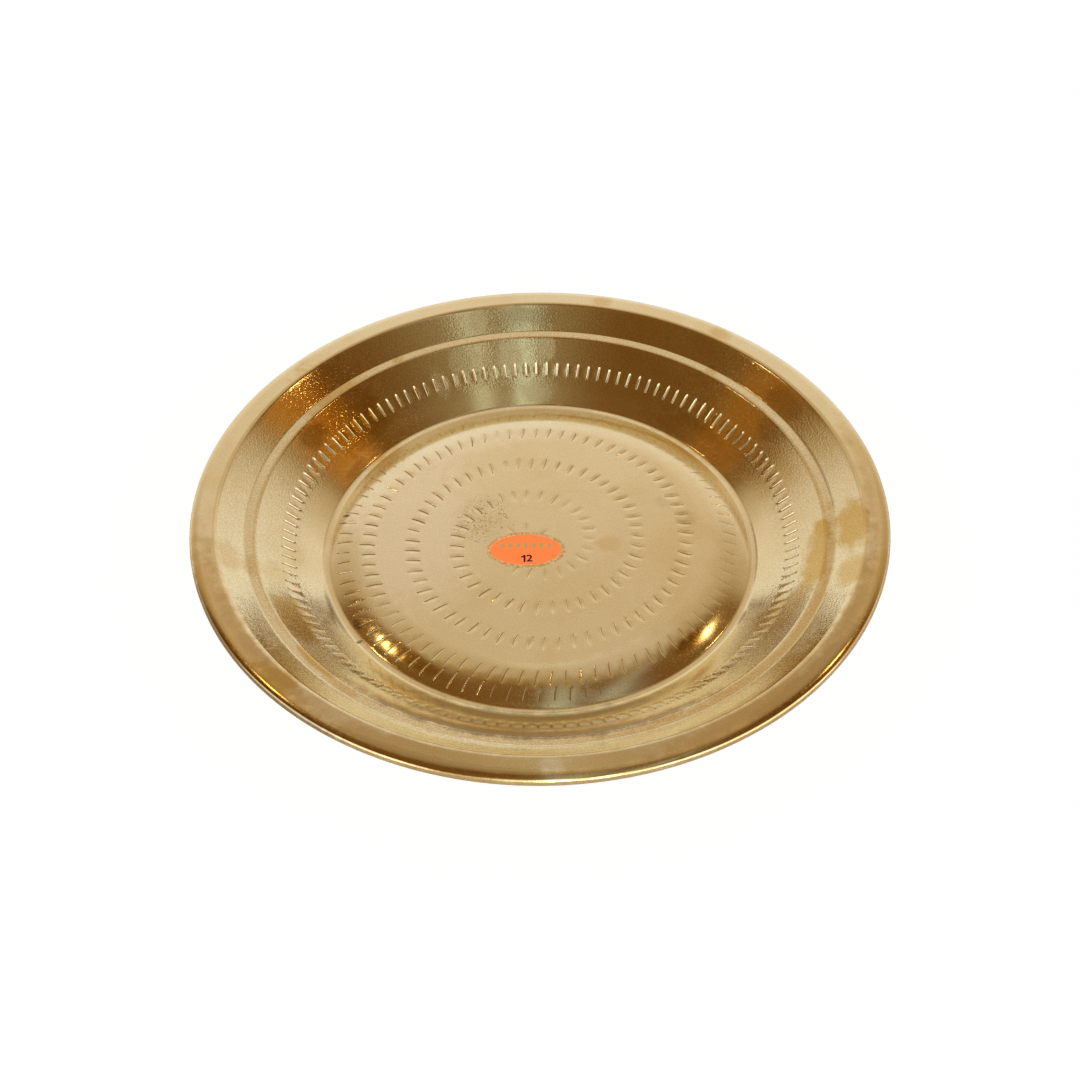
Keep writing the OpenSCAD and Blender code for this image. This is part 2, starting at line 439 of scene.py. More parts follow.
FLOOR_STEP, FLOOR_SLANT, FLOOR_CURVE = 6.3, math.radians(12.5), 0.025
PITCH, START_R, START_ANGLE = 21, 7, math.radians(55)
START_OFF = np.array((-3.3, -4.5))
LAST_TURN_R = ring_in_r - 6.1
LAST_TURN = math.radians(265)
LAST_TURN_IN, LAST_TURN_SPREAD = 2.0, 140
FORCE_AT = (-1050, -990, -170, -130, 110, 150, 200, 240)
FORCES = (0.5, 1, 1, 0.65, 0.55, 1, 1, 0.3)
SOFT_SIDE = math.radians(10)
FLOOR_CREASE, SOFT_CREASE = 0.42, 0.17
SOFT_HOLLOW, EDGE_HOLLOW, EDGE_FROM = 0.6, 0.35, -60
WALL_STEP, WALL_MARK_H, WALL_UNSTEADY = 5.2, 11.3, 0.35
WALL_CREASE, SIDE_CREASE = 0.55, 0.15
WALL_HOLLOW, NEAR_HOLLOW = 0.6, 0.4
WALL_SWELL, NEAR_SWELL = 0.4, 1.9
OFF_PLACE, OFF_TURN, OFF_LENGTH, OFF_FORCE = 0.22, math.radians(2.5), 0.06, 0.14

Mark = namedtuple("Mark", "spot way shrink length half curve hollow force")
hand = np.random.default_rng(12)
spiral_sweep = 2 * math.pi * (LAST_TURN_R - START_R) / PITCH
marks = []
swells = []


def strike(spot, way, shrink, half, curve, hollow, force, unsteady):
    """One mark. Shrink tells how the slope shortens it from above, half is its crease's width."""
    off = hand.normal(0, OFF_PLACE * unsteady, 2)
    turned = way + hand.normal(0, OFF_TURN * unsteady)
    length = hand.normal(1, OFF_LENGTH * unsteady)
    force *= hand.normal(1, OFF_FORCE * unsteady)
    marks.append(Mark(spot + off, turned, shrink, length, half, curve, hollow, force))


turn = 0.0
while turn <= spiral_sweep + LAST_TURN:
    r = min(LAST_TURN_R, START_R + PITCH * turn / (2 * math.pi))
    middle = (1 - r / LAST_TURN_R) * START_OFF
    past = math.degrees(turn - spiral_sweep)
    inside = LAST_TURN_IN * math.exp(-(past / LAST_TURN_SPREAD) ** 2)
    force = np.interp(past, FORCE_AT, FORCES)
    soft = 0.5 + 0.5 * math.cos(START_ANGLE + turn - SOFT_SIDE)
    hollow = 1 + SOFT_HOLLOW * soft if past < EDGE_FROM else EDGE_HOLLOW
    strike(middle + (r - inside) * along(START_ANGLE + turn), START_ANGLE + turn - FLOOR_SLANT,
           1.0, FLOOR_CREASE - SOFT_CREASE * soft, FLOOR_CURVE, hollow, force, 1.0)
    turn += FLOOR_STEP / r
floor_marks = len(marks)

wall_mark_r = ring_out_r + WALL_MARK_H / math.tan(LOWER_SLOPE) - SHEET / 2 * math.sin(LOWER_SLOPE)
wall_marks = round(2 * math.pi * wall_mark_r / WALL_STEP)
wall_shrink = math.cos(LOWER_SLOPE)
for step in range(wall_marks):
    angle = 2 * math.pi * step / wall_marks
    near = max(0, -math.sin(angle))
    strike(wall_mark_r * along(angle), angle, wall_shrink,
           WALL_CREASE + SIDE_CREASE * abs(math.cos(angle)), 0, WALL_HOLLOW - NEAR_HOLLOW * near,
           1.0, WALL_UNSTEADY)
    angle += math.pi / wall_marks
    swell = -WALL_SWELL - NEAR_SWELL * near
    swells.append(Mark(wall_mark_r * along(angle), angle, wall_shrink, 1, 0, 0, swell, 1))
print("Marks:", floor_marks, "on the floor,", wall_marks, "on the wall")

# %% [markdown]
# ## A net of points for the marked face
# By hand one would subdivide the sheet where the marks lie and push the points down. The marks run
# in every direction, though, and grid lines that don't follow them would break each thin crease
# into steps. So the inner face is laid out flat first, as seen from above: a small patch of points
# along each mark, rings of points through the bends, and a loose lattice between. A Delaunay
# triangulation then joins all the points with well-shaped triangles.

# %% Net of points
COLUMNS = 340
PATCH_U = np.array((-4.4, -3.7, -3.1, -2.1, 0, 2.1, 3.1, 3.7, 4.4))
CREASE_V = np.array((0.2, 0.72, 1.1))
HOLLOW_V = np.array((0.95, 1.55, 2.3))
PATCH_CLEAR_U, PATCH_CLEAR_V = 0.9, 0.5
ROW_FROM, ROW_STEP, ROW_UNTIL = 2.6, 2.9, 1
LATTICE, LATTICE_HALF = 4.0, 80
FLAT_INSET, CLEAR_OUT, CLEAR_IN = 1, 0.9, 0.7
LEAST_GAP = 0.09
FOOT_SOFTNESS = 0.91

seam = bend_starts[3]
face_r = np.array([point[0] for point, _ in upper_face[:seam + 1]])
face_z = np.array([point[1] for point, _ in upper_face[:seam + 1]])
face_heading = np.array([turn for _, turn in upper_face[:seam + 1]])
face_heading[bend_starts[2]:seam] *= FOOT_SOFTNESS
seam_r = face_r[-1]


def mark_frame(points, mark):
    """The points as seen by one mark: along it and across it, in millimetres on the surface."""
    gap = points - mark.spot
    u = gap @ along(mark.way) / (mark.shrink * mark.length)
    return u, gap @ across(mark.way) - mark.curve * u ** 2


patches = []
for mark in marks:
    steps = np.concatenate((CREASE_V * mark.half, HOLLOW_V))
    patch_v = np.concatenate((-steps[::-1], steps))
    u_grid, v_grid = (grid.ravel()[:, None] for grid in np.meshgrid(PATCH_U, patch_v))
    v_grid = v_grid + mark.curve * u_grid ** 2
    u_grid = u_grid * mark.shrink * mark.length
    patches.append(mark.spot + u_grid * along(mark.way) + v_grid * across(mark.way))

wall_rows = np.arange(face_r[-2] + ROW_FROM, seam_r - ROW_UNTIL, ROW_STEP)
angles = 2 * math.pi * np.arange(COLUMNS) / COLUMNS
circle = np.column_stack((np.cos(angles), np.sin(angles)))
between = [radius * circle for radius in [*face_r[1:-1], *wall_rows]]
rows = np.arange(-LATTICE_HALF, LATTICE_HALF + 0.1, LATTICE * math.sqrt(0.75))
for number, y in enumerate(rows):
    x = np.arange(-LATTICE_HALF, LATTICE_HALF + 0.1, LATTICE) + LATTICE / 2 * (number % 2)
    between.append(np.column_stack((x, np.full_like(x, y))))
between = np.vstack(between)
radius = np.linalg.norm(between, axis=1)
flat_r = face_r[1] - FLAT_INSET
between = between[(radius > flat_r + CLEAR_OUT) | (radius < flat_r - CLEAR_IN)]
for mark in marks:
    u, v = mark_frame(between, mark)
    inside = np.abs(u) < PATCH_U[-1] + PATCH_CLEAR_U
    inside &= np.abs(v) < HOLLOW_V[-1] + PATCH_CLEAR_V
    between = between[~inside]

net_points = []
taken = {}
for x, y in np.vstack([seam_r * circle, *patches, between]):
    cell = (int(x // LEAST_GAP), int(y // LEAST_GAP))
    near = [taken.get((cell[0] + i, cell[1] + j)) for i in (-1, 0, 1) for j in (-1, 0, 1)]
    if all(other is None or math.dist((x, y), other) > LEAST_GAP for other in near):
        taken[cell] = (x, y)
        net_points.append(Vector((x, y)))
print("Points in the net:", len(net_points))

# %% [markdown]
# ## Lift the net and press the marks in
# The flat net is lifted to the section's height at each radius. Each mark then presses its points
# along the surface: a thin V where the edge of the chisel went in, inside a wide shallow hollow
# where the sheet gave way around it. A swell is a hollow with its sign turned, so it raises them.
# How the face leans at each point is known exactly from the section and the marks, and it is kept
# as an attribute, to shade the mirror-like metal smoothly. The sides of the V are shaded steeper
# than they are, as a cut has sharp, torn edges.

# %% Lift the net
from mathutils.geometry import delaunay_2d_cdt

CREASE_FALL, CREASE_EDGE = 0.25, 2.1
HOLLOW_DEPTH, HOLLOW_HALF, SWELL_HALF = 0.11, 2.1, 3.2
MARK_HALF, MARK_END, HOLLOW_REACH = 3.7, 0.6, 4.3
MARK_AREA, FULL_DEPTH, NUDGE = 7, 0.2, 0.02
SAME_POINT = 1e-5

flat, _, net_faces, *_ = delaunay_2d_cdt(net_points, [], [], 0, SAME_POINT)
flat = np.array([tuple(point) for point in flat])


def press(u, v, mark):
    """How far a mark lowers the surface, along and across it: its crease, its hollow."""
    ends = np.clip((MARK_HALF - np.abs(u)) / MARK_END, 0, 1)
    crease = ends * np.clip(mark.half - np.abs(v), 0, None)
    wide = np.clip(1 - (u / HOLLOW_REACH) ** 2, 0, 1) ** 2
    half = HOLLOW_HALF if mark.hollow > 0 else SWELL_HALF
    hollow = wide * np.clip(1 - (v / half) ** 2, 0, 1) ** 2
    return mark.force * np.stack((CREASE_FALL * crease, HOLLOW_DEPTH * mark.hollow * hollow))


def keep(mesh, name, kind, field, values):
    mesh.attributes.new(name, kind, "POINT")
    mesh.attributes[name].data.foreach_set(field, values.astype(np.float32).ravel())


radius = np.linalg.norm(flat, axis=1)
outward = flat / np.maximum(radius, 1e-9)[:, None]
height = np.interp(radius, face_r, face_z)
lean = np.interp(radius, face_r, face_heading)
normal = np.column_stack((-np.sin(lean)[:, None] * outward, np.cos(lean)))
uphill = np.column_stack((np.cos(lean)[:, None] * outward, np.sin(lean)))
around_axis = np.column_stack((-outward[:, 1], outward[:, 0], np.zeros(len(flat))))

depth = np.zeros(len(flat))
facing = normal.copy()
sharpen = np.array((CREASE_EDGE, 1)) / (2 * NUDGE)
for mark in marks + swells:
    close = np.nonzero(np.abs(flat - mark.spot).max(axis=1) < MARK_AREA)[0]
    u, v = mark_frame(flat[close], mark)
    depth[close] += press(u, v, mark).sum(axis=0)
    fall_u = press(u + NUDGE, v, mark) - press(u - NUDGE, v, mark)
    fall_v = press(u, v + NUDGE, mark) - press(u, v - NUDGE, mark)
    fall_u, fall_v = sharpen @ fall_u / mark.length, sharpen @ fall_v
    turn = mark.way - np.arctan2(flat[close, 1], flat[close, 0])
    up, side = np.cos(turn)[:, None], np.sin(turn)[:, None]
    along_mark = up * uphill[close] + side * around_axis[close]
    across_mark = -side * uphill[close] + up * around_axis[close]
    facing[close] += fall_u[:, None] * along_mark + fall_v[:, None] * across_mark
facing /= np.linalg.norm(facing, axis=1)[:, None]
lifted = np.column_stack((flat, height)) - depth[:, None] * normal

inner_face = bpy.data.meshes.new("inner_face")
inner_face.from_pydata((lifted * MM).tolist(), [], net_faces)
keep(inner_face, "facing", "FLOAT_VECTOR", "vector", facing)
keep(inner_face, "mark_depth", "FLOAT", "value", depth / FULL_DEPTH)
inner = bpy.data.objects.new("inner_face", inner_face)
bpy.context.collection.objects.link(inner)
print("Inner face:", len(lifted), "points,", len(net_faces), "faces")

# %% [markdown]
# ## Spin the ledge, the lip and the underside
# The rest of the sheet has no marks, so it is made as by hand: a plane is merged to a single
# point, the point is extruded along the section, around the rolled edge and back under the plate,
# and the line is spun once around the axis. The seam and the pole are merged afterwards.

# %% Spin the rest
SPIN_MERGE = 2e-6

outline = [point for point, _ in upper_face[seam:] + lower_face[::-1]]
outline_faces = [across(turn) for _, turn in upper_face[seam:]]
outline_faces += [-across(turn) for _, turn in lower_face[::-1]]

bpy.ops.object.select_all(action="DESELECT")
first = outline[0] * MM
bpy.ops.mesh.primitive_plane_add(size=MM, location=(first[0], 0, first[1]))
plate = bpy.context.object
plate.name = "brass_plate"
bpy.ops.object.transform_apply(location=True)
bpy.ops.object.mode_set(mode="EDIT")
bpy.ops.mesh.merge(type="CENTER")
for old, new in zip(outline, outline[1:]):
    step = (new - old) * MM
    bpy.ops.mesh.extrude_vertices_move(TRANSFORM_OT_translate={"value": (step[0], 0, step[1])})
bpy.ops.mesh.select_all(action="SELECT")
bpy.ops.mesh.spin(steps=COLUMNS, angle=2 * math.pi, center=(0, 0, 0), axis=(0, 0, 1))
bpy.ops.mesh.select_all(action="SELECT")
bpy.ops.mesh.remove_doubles(threshold=SPIN_MERGE)
bpy.ops.mesh.normals_make_consistent(inside=False)
bpy.ops.object.mode_set(mode="OBJECT")
print("Spun part:", len(plate.data.vertices), "points")

# %% [markdown]
# ## Close the sheet
# The two halves share one ring of points. They are joined, the ring is merged, and the normals are
# turned outwards on the closed shell. A count of open points shows whether it is really closed. The
# spun part leans as its section tells, so a mirror in it is as smooth as on the net.

# %% Close the sheet
SEAM_MERGE, SAME_SIDE = 4e-6, 0.5


def read(items, field):
    values = np.zeros(3 * len(items), np.float32)
    items.foreach_get(field, values)
    return values.reshape(-1, 3)


rest = plate.data
places = read(rest.vertices, "co") / MM
radius = np.linalg.norm(places[:, :2], axis=1)
outward = places[:, :2] / np.maximum(radius, 1e-6)[:, None]
gaps = [np.hypot(radius - point[0], places[:, 2] - point[1]) for point in outline]
lean = np.array(outline_faces)[np.argmin(gaps, axis=0)]
keep(rest, "facing", "FLOAT_VECTOR", "vector", np.column_stack((lean[:, :1] * outward, lean[:, 1])))
keep(rest, "mark_depth", "FLOAT", "value", np.zeros(len(places)))

bpy.ops.object.select_all(action="DESELECT")
inner.select_set(True)
plate.select_set(True)
bpy.context.view_layer.objects.active = plate
bpy.ops.object.join()
bpy.ops.object.mode_set(mode="EDIT")
bpy.ops.mesh.select_all(action="SELECT")
bpy.ops.mesh.remove_doubles(threshold=SEAM_MERGE)
bpy.ops.mesh.normals_make_consistent(inside=False)
bpy.ops.mesh.select_all(action="DESELECT")
bpy.ops.mesh.select_non_manifold()
bpy.ops.object.mode_set(mode="OBJECT")
open_points = sum(vertex.select for vertex in plate.data.vertices)
bpy.ops.object.shade_smooth()

sheet = plate.data
known = read(sheet.attributes["facing"].data, "vector")
plain = read(sheet.vertex_normals, "vector")
turned = int((np.einsum("ij,ij->i", known, plain) < SAME_SIDE).sum())
sheet.attributes.remove(sheet.attributes["facing"])
sheet.normals_split_custom_set_from_vertices(known.tolist())
triangles = sum(len(face.vertices) - 2 for face in sheet.polygons)
print("Plate:", triangles, "triangles,", open_points, "open points,", turned, "turned normals")

# %% [markdown]
# ## Grain and tarnish as node groups
# Several metals here share the same small effects, so each effect is a node group with its own
# inputs. Lathe lines are fine rings that the spinning tool leaves. Orange peel is the soft bumpy
# grain of a drawn sheet. Clouds are the wide patches in which old brass darkens.

# %% Node groups
def new_group(name, inputs, output, kind="NodeSocketFloat"):
    """A node group with one output. Inputs without a value are vectors, the others numbers."""
    group = bpy.data.node_groups.new(name, "ShaderNodeTree")
    for label, value in inputs.items():
        if value is None:
            group.interface.new_socket(label, in_out="INPUT", socket_type="NodeSocketVector")
        else:
            socket = group.interface.new_socket(label, in_out="INPUT",
                                                socket_type="NodeSocketFloat")
            socket.default_value = value
    group.interface.new_socket(output, in_out="OUTPUT", socket_type=kind)
    given = add_node(group, "NodeGroupInput").outputs
    return group, given, add_node(group, "NodeGroupOutput").inputs[output]


def use_group(tree, group, **inputs):
    named = {label.capitalize(): value for label, value in inputs.items()}
    return add_node(tree, "ShaderNodeGroup", named, node_tree=group).outputs[0]


def noise(tree, place, scale, detail=2.0, roughness=0.5, distortion=0.0):
    made = add_node(tree, "ShaderNodeTexNoise", {
        "Vector": place, "Scale": scale, "Detail": detail, "Roughness": roughness,
        "Distortion": distortion})
    return made.outputs["Fac"]


def turn_and_radius(group, place):
    """The angle around the plate's axis and the distance from it."""
    x, y, _ = add_node(group, "ShaderNodeSeparateXYZ", {0: place}).outputs
    level = add_node(group, "ShaderNodeCombineXYZ", {"X": x, "Y": y}).outputs[0]
    return calc(group, "ARCTAN2", y, x), vector_calc(group, "LENGTH", level)


lathe_lines, given, result = new_group(
    "lathe_lines", {"Place": None, "Lines": 3000.0}, "Height")
turned, from_axis = turn_and_radius(lathe_lines, given["Place"])
ring_number = calc(lathe_lines, "MULTIPLY", from_axis, given["Lines"])
ring_place = add_node(lathe_lines, "ShaderNodeCombineXYZ", {"X": ring_number, "Y": turned})
ring_noise = noise(lathe_lines, ring_place.outputs[0], 1.0, roughness=0.6)
lathe_lines.links.new(ring_noise, result)

orange_peel, given, result = new_group(
    "orange_peel", {"Place": None, "Grain": 900.0}, "Height")
peel = noise(orange_peel, given["Place"], given["Grain"], detail=1.0)
orange_peel.links.new(peel, result)

clouds, given, result = new_group(
    "tarnish_clouds", {"Place": None, "Size": 18.0, "Low": 0.45, "High": 0.65}, "Mask")
drift = noise(clouds, given["Place"], given["Size"], detail=5.0, roughness=0.6,
              distortion=0.6)
cut = remap(clouds, drift, given["Low"], given["High"], shape="SMOOTHSTEP")
clouds.links.new(cut, result)
print("Node groups:", [group.name for group in bpy.data.node_groups])

# %% [markdown]
# ## Stains and painted light
# Old water drips, a brown edge and dark smears sit in certain places of the real plate. Other
# ovals are painted light: painted shade and painted dark reflections, where the mirror-like metal
# is to look darker than the room alone makes it, and painted highlights, where it is to look paler.
# One could paint them by hand. Here each is a soft oval with a ragged edge, placed by its angle
# around the plate and its radius, because drips run along the radius and smears around it. The
# first group turns a place into angle and radius, in degrees and millimetres. The second makes one
# oval mask, and brings angles that differ by a whole turn together.

# %% Stain and painted light groups
WHOLE_TURN = ((180.0, 1000.0, 1000.0), (-180.0, -1000.0, -1000.0))
OVAL_ENDS, OVAL_FULL = 1.55, 0.95

polar, given, result = new_group("polar_place", {"Place": None}, "Spot", "NodeSocketVector")
turned, from_axis = turn_and_radius(polar, given["Place"])
spot = add_node(polar, "ShaderNodeCombineXYZ", {
    "X": calc(polar, "DEGREES", turned), "Y": calc(polar, "MULTIPLY", from_axis, 1 / MM)})
polar.links.new(spot.outputs[0], result)

stain_and_painted_light, given, result = new_group(
    "stain_and_painted_light", {"Spot": None, "Middle": None, "Reach": None, "Ragged": 0.5}, "Mask")
off = vector_calc(stain_and_painted_light, "SUBTRACT", given["Spot"], given["Middle"])
off = vector_calc(stain_and_painted_light, "WRAP", off, *WHOLE_TURN)
off = vector_calc(stain_and_painted_light, "DIVIDE", off, given["Reach"])
off = calc(stain_and_painted_light, "ADD", vector_calc(stain_and_painted_light, "LENGTH", off), given["Ragged"])
oval = remap(stain_and_painted_light, off, OVAL_ENDS, OVAL_FULL, shape="SMOOTHSTEP")
stain_and_painted_light.links.new(oval, result)


def stains_and_painted_light(tree, spot, ragged, places):
    """The strongest of several stain and painted-light ovals at each spot: angle, radius, their
    reaches, strength.
    """
    strongest = 0.0
    for angle, radius, wide, deep, strength in places:
        mask = use_group(tree, stain_and_painted_light, spot=spot, ragged=ragged, middle=(angle, radius, 0),
                         reach=(wide, deep, 1))
        strongest = calc(tree, "MAXIMUM", calc(tree, "MULTIPLY", mask, strength), strongest)
    return strongest


print("Stain groups:", polar.name, stain_and_painted_light.name)

# %% [markdown]
# ## Where the stains and the painted light are
# Brown tarnish lies mostly on the near lip, with drips down the walls. The brown and dark patches
# on the near wall and the near shoulder are painted shade and painted dark reflections, and so is a
# brown line along the far shoulder. Some grime and a few cracks lie at the foot of the wall, with
# painted shade along it, along the ledge's outer bend and on the rolled edge at the near left. Dull
# wipe marks catch the light on the far wall. Freshly cleaned metal is the palest, and pale painted
# highlights lie on the near lip, the near wall and the shoulders. A patch of the floor, behind the
# sticker at the left, is scuffed. Each stain is given by its angle, its radius, its reach around
# the plate, its reach along the radius and its strength.

# %% Places of stains and painted light
# Tarnish and drips, and painted shade and painted dark reflections on the near wall and shoulder
BROWN_AND_DARK_REFLECTIONS = [
    # The lip
    (-148, 148, 28, 10, 0.5), (-105, 148, 22, 10, 0.5), (-55, 148, 24, 10, 0.6),
    (-30, 149, 26, 10, 0.55), (0, 149, 24, 9, 0.4), (-135, 146, 7, 8, 0.8), (-80, 148, 14, 9, 0.3),
    (-52, 141, 24, 4.5, 0.5), (52, 146, 3, 6, 0.4), (77, 146, 2.5, 6, 0.4),
    # Drips down the left wall
    (-166, 137, 5, 6, 0.35), (-165, 128, 3.5, 5, 0.35), (-164, 119, 4, 6, 0.3),
    (-172, 109, 6, 5, 0.2), (-150, 119, 10, 9, 0.8),
    # Drips down the right wall
    (-19, 139, 5, 8, 0.6), (-7, 137, 8, 9, 0.75), (-15, 123, 11, 8, 0.75), (-6, 125, 4, 5, 0.8),
    (-25, 120, 5, 5, 0.5), (17, 113, 9, 12, 0.3), (-30, 114, 9, 10, 0.5),
    # The ledge and the bends beside it
    (123, 128, 1.7, 3, 0.5), (49, 128, 1.7, 3, 0.4), (-67, 126, 5, 4, 0.5), (-128, 127, 5, 3, 0.4),
    (-40, 128.5, 48, 3, 0.5), (-136, 126, 8, 2.5, 0.7), (-52, 126, 14, 2.5, 0.5),
    (0, 126, 400, 0.8, 0.35), (0, 142, 400, 0.8, 0.3),
    # The near wall, where the brown is painted shade and a painted dark reflection, and the far one
    (-95, 121.5, 46, 5, 0.75), (-98, 104, 26, 6, 0.5), (-100, 114.5, 22, 4.5, 0.6),
    (44, 102, 18, 8, 0.5), (141, 118, 11, 34, 0.65),
    # The floor and its shoulder. On the near shoulder the brown is painted shade and a painted dark
    # reflection, and the line along the far shoulder is a painted dark reflection
    (-9, 31, 13, 7, 0.28), (0, 60, 55, 34, 0.1), (20, 74, 40, 10, 0.2), (-105, 84.5, 20, 3, 0.5),
    (-128, 88.5, 14, 4, 0.7), (-45, 88, 8, 4, 0.8), (42, 93, 8, 2, 0.5), (50, 91, 8, 2, 0.5),
    (58, 89.4, 8, 2, 0.5), (67, 88.2, 9, 2, 0.5), (77, 87.2, 10, 1.8, 0.45),
]
# Grime and cracks, and painted shade along the foot of the wall, a bend, the near wall and the
# rolled edge
GRIME_AND_SHADE = [
    # The foot of the wall and the edge of the floor: a few cracks and some grime, with painted
    # shade along the foot and around a lamp's glint on the near shoulder
    (-155, 99, 10, 1.6, 0.5), (-28, 98.6, 3, 1.2, 0.5), (-5, 97.9, 14, 0.6, 0.4),
    (-143, 97, 0.6, 2, 0.7), (150, 100, 6, 3, 0.3), (-148, 93, 2.5, 1.6, 0.5),
    (169, 91, 0.7, 2, 0.8), (172, 91.5, 0.5, 2.4, 0.7), (-45.5, 87.5, 5, 3, 0.3),
    # The floor
    (10, 68, 6, 6, 0.13), (21, 61, 5, 4, 0.1),
    # The walls: dark patches, a painted shade line along the ledge's outer bend, and painted shade
    # and a painted dark reflection on the near wall
    (10, 130.6, 16, 0.6, 0.35), (153, 120, 5, 6, 0.45), (30, 135, 7, 6, 0.3),
    (27, 122, 5, 5, 0.25), (93, 136, 8, 6, 0.25), (-92, 123.2, 42, 4.6, 0.62),
    (-92, 102.5, 44, 7, 0.52), (-94, 114.5, 32, 4.6, 0.42),
    # The near lip and the rolled edge, where the dark band at the near left is painted shade
    (-104, 148.2, 24, 2.4, 0.35), (-140, 152, 30, 1.6, 0.6), (-85, 144.5, 100, 5.5, 0.22),
    (-45, 147.5, 18, 5, 0.32),
]
WIPED = [
    (88, 121, 3, 6, 0.7), (97, 118, 4, 8, 0.5), (110, 119, 3, 7, 0.5), (116, 113, 3, 9, 0.5),
    (94, 137, 6, 5, 0.4), (103, 136, 2.5, 6, 0.4), (125, 106, 9, 5, 0.15), (90, 104, 6, 7, 0.4),
    (98, 92.5, 56, 6, 1.0), (-146, 119, 18, 26, 0.5), (-35, 119, 18, 26, 0.5),
]
# Freshly cleaned metal, and painted highlights on the near lip, the near wall and the shoulders
FRESH_AND_HIGHLIGHTS = [
    (175, 60, 60, 38, 0.7), (115, 76, 50, 14, 0.6), (98, 92.5, 56, 6, 1.0),
    (-98, 134, 30, 5, 1.0), (-66, 79, 26, 7, 0.9), (-88.5, 146.5, 2.4, 6, 1.0),
]
SCUFFED = [(155, 29, 36, 15, 1.0)]
print("Stains:", len(BROWN_AND_DARK_REFLECTIONS), "brown,", len(GRIME_AND_SHADE), "dark,", len(WIPED), "dull,",
      len(FRESH_AND_HIGHLIGHTS), "fresh_and_highlights")

# %% [markdown]
# ## Brass
# Brass is a metal, so its colour is the colour of its reflections. It starts as a blend of clean
# and old brass in wide clouds, and the stains and the painted light go over it one kind after the
# other: tarnish with painted dark reflections, grime with painted shade, and clean metal with
# painted highlights. Brown also darkens the creases of the floor's marks. The scuffed patch is dark
# only in specks. The height above the ground tells the floor, the walls and the lip apart.

# %% Brass
SCUFF_CUT, SCUFF_DARK, CREASE_DARKENING = (0.56, 0.63), 0.8, 0.25
CLEAN_BRASS, OLD_BRASS = (0.875, 0.77, 0.47, 1), (0.83, 0.71, 0.40, 1)
# The fresh colour also paints highlights, and the brown one also paints dark reflections
FRESH_AND_HIGHLIGHT_BRASS, BROWN_BRASS = (0.95, 0.88, 0.62, 1), (0.62, 0.38, 0.065, 1)
# The grime colour also paints shade
DARK_GRIME_AND_SHADE = (0.13, 0.08, 0.035, 1)
WALL_FROM_Z, WALL_FULL_Z = 0.0052, 0.009
LIP_FROM_Z, LIP_FULL_Z = 0.0304, 0.0314


def object_place(tree):
    return add_node(tree, "ShaderNodeTexCoord").outputs["Object"]


brass = new_material("brass_sheet")
tree = brass.node_tree
place = object_place(tree)
_, _, place_z = add_node(tree, "ShaderNodeSeparateXYZ", {0: place}).outputs
wall = calc(tree, "MULTIPLY", remap(tree, place_z, WALL_FROM_Z, WALL_FULL_Z),
            remap(tree, place_z, LIP_FULL_Z, LIP_FROM_Z))
spot = use_group(tree, polar, place=place)
ragged = noise(tree, place, 160.0, detail=4.0, roughness=0.6)
crease = add_node(tree, "ShaderNodeAttribute", attribute_name="mark_depth").outputs["Fac"]

old = use_group(tree, clouds, place=place, size=26.0, low=0.42, high=0.7)
# Masks: tarnish with painted dark reflections, grime with painted shade, dull wipes, fresh metal
# with painted highlights, scuffs
brown_and_dark_reflections, grime_and_shade, wiped, fresh_and_highlights, scuffed = (
    stains_and_painted_light(tree, spot, ragged, places) for places in (BROWN_AND_DARK_REFLECTIONS, GRIME_AND_SHADE, WIPED, FRESH_AND_HIGHLIGHTS, SCUFFED))
scuffs = noise(tree, place, 1100.0, detail=3.0, distortion=1.5)
scuffs = remap(tree, scuffs, *SCUFF_CUT, 0.0, SCUFF_DARK)
grime_and_shade = calc(tree, "MAXIMUM", grime_and_shade, calc(tree, "MULTIPLY", scuffed, scuffs))

metal = blend(tree, old, CLEAN_BRASS, OLD_BRASS)
# Fresh metal and painted highlights
metal = blend(tree, fresh_and_highlights, metal, FRESH_AND_HIGHLIGHT_BRASS)
# The creases of the floor's marks darken
in_crease = calc(tree, "MULTIPLY", crease, calc(tree, "SUBTRACT", 1.0, wall))
in_crease = calc(tree, "MULTIPLY", in_crease, CREASE_DARKENING)
# Tarnish, painted dark reflections and the darker creases
metal = blend(tree, calc(tree, "MAXIMUM", brown_and_dark_reflections, in_crease, use_clamp=True), metal, BROWN_BRASS)
# Grime, scuff specks and painted shade
metal = blend(tree, grime_and_shade, metal, DARK_GRIME_AND_SHADE)
print("Brass colour:", len(tree.nodes), "nodes")

# %% [markdown]
# ## The brass surface
# Polish is never even. The floor was brushed flat and reflects a little softer, while the walls
# keep a finer polish over the orange peel of the sheet. Under a lens, mirror-like spots lie between
# duller ones, so a fine noise varies the roughness. Another one darkens tiny pits in the metal.
# Lathe lines and orange peel go into the bump, which bends the reflections without any more points
# in the mesh.

# %% Brass surface
FLOOR_ROUGHNESS, WALL_ROUGHNESS = 0.12, 0.06
SPECK_CUT, SPECK_DULL, WIPE_DULL = (0.56, 0.66), 0.10, 0.3
OUTSIDE_MARKS = (0.4, 0.05)
LINE_SHARE, BUMP_HEIGHT = 0.08, 0.00005
PIT_CUT, FLOOR_PITS, WALL_PITS, BETWEEN_PITS = (0.36, 0.62), 0.92, 0.80, 1.03


def surface(tree, inputs):
    shader = add_node(tree, "ShaderNodeBsdfPrincipled", inputs)
    add_node(tree, "ShaderNodeOutputMaterial", {"Surface": shader.outputs[0]})


